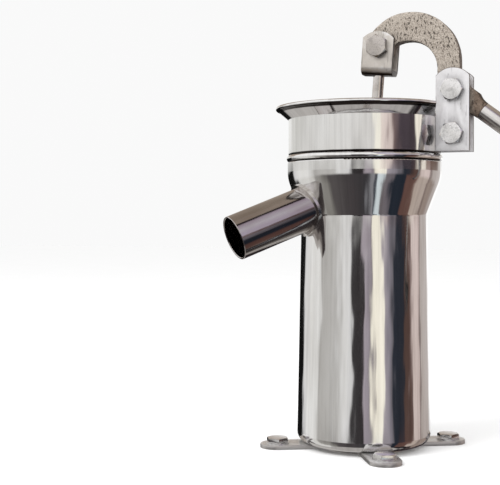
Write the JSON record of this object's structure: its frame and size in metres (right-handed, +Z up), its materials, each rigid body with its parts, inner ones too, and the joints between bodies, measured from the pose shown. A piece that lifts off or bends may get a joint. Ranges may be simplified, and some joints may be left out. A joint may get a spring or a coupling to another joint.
{
  "type": "hand well pump",
  "caption": "Polished stainless hand pump for a well: footed barrel with belled cup and slanting spout, and an arched lever on a fork bracket that lifts a piston rod.",
  "frame": {"origin": "centre of the inlet thread in the plane of the base's underside", "axes": "+Z up along the barrel, +X towards the lever bracket and handle, lever swings in XZ"},
  "size_m": [0.5079, 0.1691, 0.375],
  "materials": {
    "polished_steel": "mirror-polished stainless sheet with faint vertical polishing lines",
    "spout_steel": "polished stainless tube, lines along the tube",
    "weld_steel": "rippled weld bead, slightly dark",
    "satin_steel": "fine bead-blasted satin stainless plate",
    "bolt_steel": "forged stainless hexagon fasteners",
    "rod_steel": "drawn round bar, polished along its length",
    "cast_steel": "shot-blasted casting, beige grey, with fine pits",
    "inner_steel": "turned stainless",
    "brass": "turned brass",
    "grip_rubber": "ribbed black rubber",
    "seal_leather": "oiled leather",
    "gasket_rubber": "plain rubber"
  },
  "bodies": {
    "pump_body": {"anchor_bolts": "bolt_steel", "anchor_washers": "bolt_steel", "barrel_shell": "polished_steel", "base_plate": "inner_steel", "bell": "polished_steel", "bracket_plate_front": "satin_steel", "bracket_plate_rear": "satin_steel", "bracket_spacer": "bolt_steel", "clamp_bolt": "bolt_steel", "clamp_nut": "bolt_steel", "cylinder_liner": "inner_steel", "flared_lip": "polished_steel", "foot_cross": "satin_steel", "foot_valve_bridge": "inner_steel", "foot_valve_seat": "brass", "inlet_socket": "inner_steel", "joint_bead": "polished_steel", "liner_collar": "inner_steel", "liner_gasket": "gasket_rubber", "pivot_bolt": "bolt_steel", "pivot_nut": "bolt_steel", "spout_tube": "spout_steel", "spout_weld": "weld_steel", "top_cup": "polished_steel"},
    "lever": {"lever_casting": "cast_steel", "pivot_bush": "brass", "pin_bush": "brass", "handle_bar": "rod_steel", "handle_grip": "grip_rubber", "grip_end_cap": "grip_rubber"},
    "piston_rod_set": {"clevis": "satin_steel", "clevis_bolt": "bolt_steel", "clevis_nut": "bolt_steel", "rod_collar": "rod_steel", "piston_rod": "rod_steel", "rod_foot": "rod_steel"},
    "piston": {"piston_retainer": "inner_steel", "piston_body": "inner_steel", "piston_seal": "seal_leather", "piston_screws": "bolt_steel", "valve_stop_ring": "brass", "piston_yoke": "brass", "yoke_cap": "brass"},
    "lift_valve": {"piston_valve": "brass"},
    "foot_valve": {"foot_valve_disc": "brass"}
  },
  "joints": [
    {"name": "lever_pivot", "type": "hinge", "parent": "pump_body", "child": "lever", "pos_m": [0.0747, 0, 0.2885], "axis": [0, -1, 0], "range_deg": [0, 60]},
    {"name": "rod_pin", "type": "hinge", "parent": "lever", "child": "piston_rod_set", "pos_m": [0.014, 0, 0.3257], "axis": [0, -1, 0], "range_deg": [-60, 0]},
    {"name": "piston_slide", "type": "slide", "parent": "pump_body", "child": "piston", "axis": [0, 0, 1], "range_m": [-0.0715, 0]},
    {"name": "lift_valve_slide", "type": "slide", "parent": "piston", "child": "lift_valve", "axis": [0, 0, 1], "range_m": [0, 0.004]},
    {"name": "foot_valve_slide", "type": "slide", "parent": "pump_body", "child": "foot_valve", "axis": [0, 0, 1], "range_m": [0, 0.005]}
  ],
  "couplings": [
    {"joint": "rod_pin", "follows": "lever_pivot", "ratio": -1},
    {"joint": "piston_slide", "follows": "lever_pivot", "m_per_rad": -0.06796}
  ]
}
